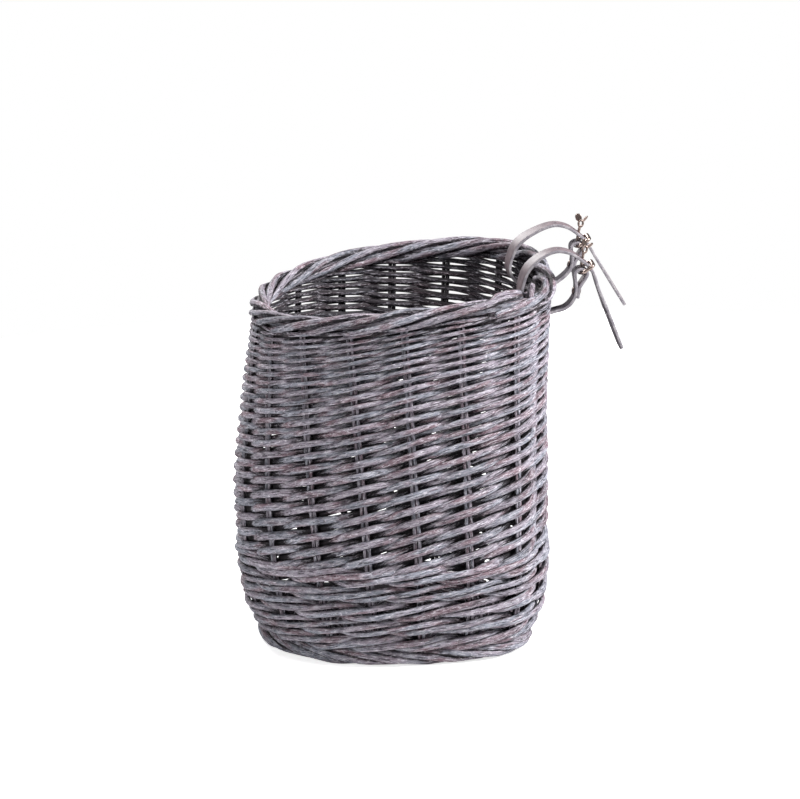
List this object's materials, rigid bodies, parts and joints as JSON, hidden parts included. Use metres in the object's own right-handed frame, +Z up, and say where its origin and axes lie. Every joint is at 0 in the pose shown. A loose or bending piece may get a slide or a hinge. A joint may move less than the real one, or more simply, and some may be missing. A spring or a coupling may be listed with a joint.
{
  "type": "bicycle basket",
  "caption": "Tall willow bicycle basket with a rounded front, a straighter back and leather buckle straps that hang it on a handlebar",
  "frame": {"origin": "under the middle of the whole part's box, on the surface it stands on", "axes": "+Z up, +Y to the back with the straps, +X to the rider's left"},
  "size_m": [0.2924, 0.3664, 0.3677],
  "materials": {
    "washed_willow_weave": "grey-washed willow rods, matt with worn pale edges",
    "washed_willow_stake": "grey-washed willow rods, matt",
    "strap_leather": "mauve-grey strap leather, pale cut edges",
    "buckle_nickel": "polished warm nickel plate"
  },
  "bodies": {
    "basket": {"top_border": "washed_willow_weave", "siding_weave": "washed_willow_weave", "upsett_wale": "washed_willow_weave", "foot_border": "washed_willow_weave", "base_weave": "washed_willow_weave", "stake_01": "washed_willow_stake", "stake_02": "washed_willow_stake", "stake_03": "washed_willow_stake", "stake_04": "washed_willow_stake", "stake_05": "washed_willow_stake", "stake_06": "washed_willow_stake", "stake_07": "washed_willow_stake", "stake_08": "washed_willow_stake", "stake_09": "washed_willow_stake", "stake_10": "washed_willow_stake", "stake_11": "washed_willow_stake", "stake_12": "washed_willow_stake", "stake_13": "washed_willow_stake", "stake_14": "washed_willow_stake", "stake_15": "washed_willow_stake", "stake_16": "washed_willow_stake", "stake_17": "washed_willow_stake", "stake_18": "washed_willow_stake", "base_stick_long_1": "washed_willow_stake", "base_stick_long_2": "washed_willow_stake", "base_stick_long_3": "washed_willow_stake", "base_stick_long_4": "washed_willow_stake", "base_stick_long_5": "washed_willow_stake", "base_stick_cross_1": "washed_willow_stake", "base_stick_cross_2": "washed_willow_stake", "base_stick_cross_3": "washed_willow_stake", "base_stick_cross_4": "washed_willow_stake"},
    "left_strap_loop": {"left_strap": "strap_leather", "left_strap_rivet": "buckle_nickel"},
    "left_frame": {"left_buckle_frame": "buckle_nickel"},
    "left_prong": {"left_buckle_prong": "buckle_nickel"},
    "left_tail": {"left_strap_tail": "strap_leather"},
    "right_strap_loop": {"right_strap": "strap_leather", "right_strap_rivet": "buckle_nickel"},
    "right_frame": {"right_buckle_frame": "buckle_nickel"},
    "right_prong": {"right_buckle_prong": "buckle_nickel"},
    "right_tail": {"right_strap_tail": "strap_leather"}
  },
  "joints": [
    {"name": "left_strap_swing", "type": "hinge", "parent": "basket", "child": "left_strap_loop", "pos_m": [0.05, 0.09847, 0.3287], "axis": [1, 0, 0], "range_deg": [-18, 35]},
    {"name": "left_buckle_lift", "type": "hinge", "parent": "left_strap_loop", "child": "left_frame", "pos_m": [0.05, 0.12947, 0.3402], "axis": [1, 0, 0], "range_deg": [0, 30]},
    {"name": "left_prong_swing", "type": "hinge", "parent": "left_strap_loop", "child": "left_prong", "pos_m": [0.05, 0.12947, 0.3402], "axis": [1, 0, 0], "range_deg": [-22, 8]},
    {"name": "left_tail_flex", "type": "hinge", "parent": "left_strap_loop", "child": "left_tail", "pos_m": [0.05, 0.13832, 0.34223], "axis": [1, 0, 0], "range_deg": [-12, 35]},
    {"name": "right_strap_swing", "type": "hinge", "parent": "basket", "child": "right_strap_loop", "pos_m": [-0.05, 0.09847, 0.3287], "axis": [1, 0, 0], "range_deg": [-18, 35]},
    {"name": "right_buckle_lift", "type": "hinge", "parent": "right_strap_loop", "child": "right_frame", "pos_m": [-0.05, 0.13847, 0.3427], "axis": [1, 0, 0], "range_deg": [0, 30]},
    {"name": "right_prong_swing", "type": "hinge", "parent": "right_strap_loop", "child": "right_prong", "pos_m": [-0.05, 0.13847, 0.3427], "axis": [1, 0, 0], "range_deg": [-22, 8]},
    {"name": "right_tail_flex", "type": "hinge", "parent": "right_strap_loop", "child": "right_tail", "pos_m": [-0.05, 0.14732, 0.34473], "axis": [1, 0, 0], "range_deg": [-12, 35]}
  ]
}
